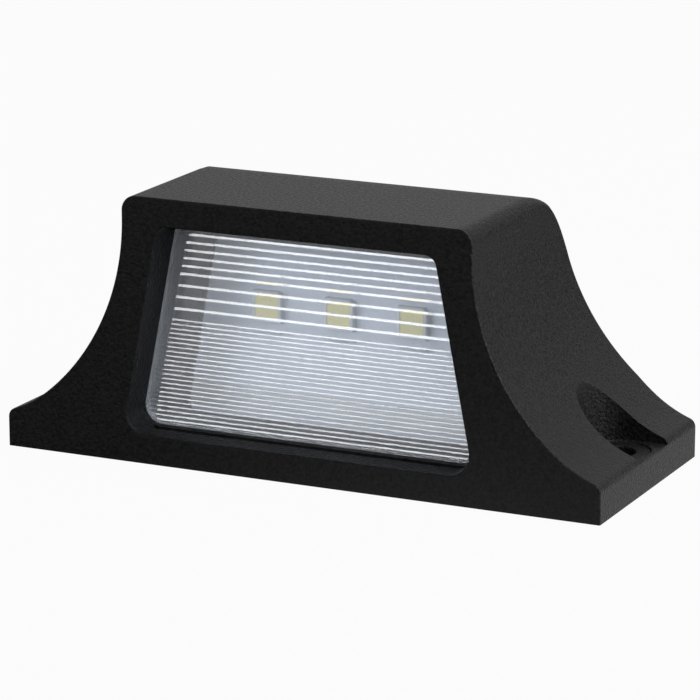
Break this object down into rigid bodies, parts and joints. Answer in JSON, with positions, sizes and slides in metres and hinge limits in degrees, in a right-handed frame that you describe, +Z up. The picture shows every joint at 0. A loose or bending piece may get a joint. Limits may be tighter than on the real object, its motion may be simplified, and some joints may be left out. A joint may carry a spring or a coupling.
{
  "type": "number plate lamp",
  "caption": "Low black moulded lamp that lights a number plate from a recessed ribbed clear window, with concave flanks, a rounded leaning back and screw pockets in its feet.",
  "frame": {"origin": "middle of the lamp's base, on the surface that it is screwed to", "axes": "+X along the lamp's length, -Y out of the window, +Z up from the base"},
  "size_m": [0.1, 0.041, 0.0423],
  "materials": {
    "black_plastic": "fine grained",
    "base_plastic": "plain moulded",
    "clear_plastic": "clear polished",
    "black_rubber": "matte",
    "white_board": "white solder mask",
    "led_package": "moulded white",
    "phosphor": "yellow silicone",
    "chip_plastic": "moulded black",
    "brown_ceramic": "fired",
    "resistor_ceramic": "coated",
    "tinned_metal": "tinned",
    "screw_steel": "zinc plated"
  },
  "bodies": {
    "root": {"housing": "black_plastic", "lens": "clear_plastic", "lens_seal": "black_rubber", "circuit_board": "white_board", "driver_chip": "chip_plastic", "polarity_diode": "chip_plastic", "surge_suppressor": "chip_plastic", "input_capacitor": "brown_ceramic", "sense_resistors": "resistor_ceramic", "solder_pads": "tinned_metal", "base_plate": "base_plastic", "base_seal": "black_rubber", "plate_screws": "screw_steel", "cable_grommet": "black_rubber", "led_left": "led_package", "phosphor_left": "phosphor", "led_centre": "led_package", "phosphor_centre": "phosphor", "led_right": "led_package", "phosphor_right": "phosphor"}
  },
  "joints": []
}
